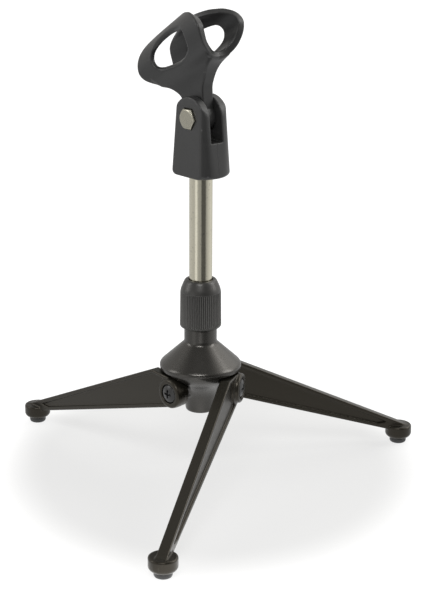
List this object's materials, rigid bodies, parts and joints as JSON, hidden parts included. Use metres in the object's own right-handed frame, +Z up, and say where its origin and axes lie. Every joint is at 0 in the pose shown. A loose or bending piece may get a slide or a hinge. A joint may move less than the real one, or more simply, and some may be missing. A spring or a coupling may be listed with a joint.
{
  "type": "desktop microphone stand",
  "caption": "Tabletop microphone stand: folding tripod legs on a cast hub, a telescoping plated tube with a knurled clutch collar, and a tilting open-sided microphone clip.",
  "frame": {"origin": "on the floor, at the middle of the stand's overall box; the column axis stands at x = -11.144 mm, y = -19.897 mm", "axes": "+Z up, parallel to the column; the microphone points towards -Y and the clip tilts about an axis parallel to X"},
  "size_m": [0.2192, 0.211, 0.2472],
  "materials": {
    "cast_black": "semi-gloss black coating",
    "clip_black": "satin moulded",
    "collar_black": "satin moulded",
    "tube_plated": "bright plated",
    "bolt_plated": "bright plated",
    "screw_black": "black coated",
    "pad_rubber": "matte",
    "brass": "machined",
    "nylon": "satin",
    "steel": "machined"
  },
  "bodies": {
    "stand_base": {"hub": "cast_black", "leg_pivot_screws": "screw_black", "leg_pivot_washers": "nylon"},
    "left_leg": {"leg_left": "cast_black", "foot_pad_left": "pad_rubber"},
    "right_leg": {"leg_right": "cast_black", "foot_pad_right": "pad_rubber"},
    "rear_leg": {"leg_rear": "cast_black", "foot_pad_rear": "pad_rubber"},
    "clutch_collar": {"collar": "collar_black"},
    "clutch_collet": {"collet": "nylon"},
    "column": {"tube": "tube_plated", "tube_end_plug": "nylon", "top_stud": "steel", "fork_base": "clip_black", "thread_insert": "brass", "thread_adapter": "brass", "pivot_bolt": "bolt_plated", "pivot_nut": "bolt_plated"},
    "clip": {"mic_clip": "clip_black"}
  },
  "joints": [
    {"name": "left_leg_fold", "type": "hinge", "parent": "stand_base", "child": "left_leg", "pos_m": [-0.00153, -0.03529, 0.0513], "axis": [0.5299, -0.848, 0], "range_deg": [0, 70]},
    {"name": "right_leg_fold", "type": "hinge", "parent": "stand_base", "child": "right_leg", "pos_m": [-0.00262, -0.00387, 0.0513], "axis": [0.4695, 0.8829, 0], "range_deg": [0, 70]},
    {"name": "rear_leg_fold", "type": "hinge", "parent": "stand_base", "child": "rear_leg", "pos_m": [-0.02928, -0.02053, 0.0513], "axis": [-0.9994, -0.0349, 0], "range_deg": [0, 70]},
    {"name": "collar_turn", "type": "hinge", "parent": "stand_base", "child": "clutch_collar", "pos_m": [-0.01114, -0.0199, 0.097], "axis": [0, 0, 1], "range_deg": [0, 270]},
    {"name": "column_turn", "type": "hinge", "parent": "stand_base", "child": "clutch_collet", "pos_m": [-0.01114, -0.0199, 0.095], "axis": [0, 0, 1], "continuous": true},
    {"name": "column_slide", "type": "slide", "parent": "clutch_collet", "child": "column", "axis": [0, 0, 1], "range_m": [-0.04, 0]},
    {"name": "clip_tilt", "type": "hinge", "parent": "column", "child": "clip", "pos_m": [-0.01114, -0.0199, 0.1943], "axis": [1, 0, 0], "range_deg": [-60, 100]}
  ]
}
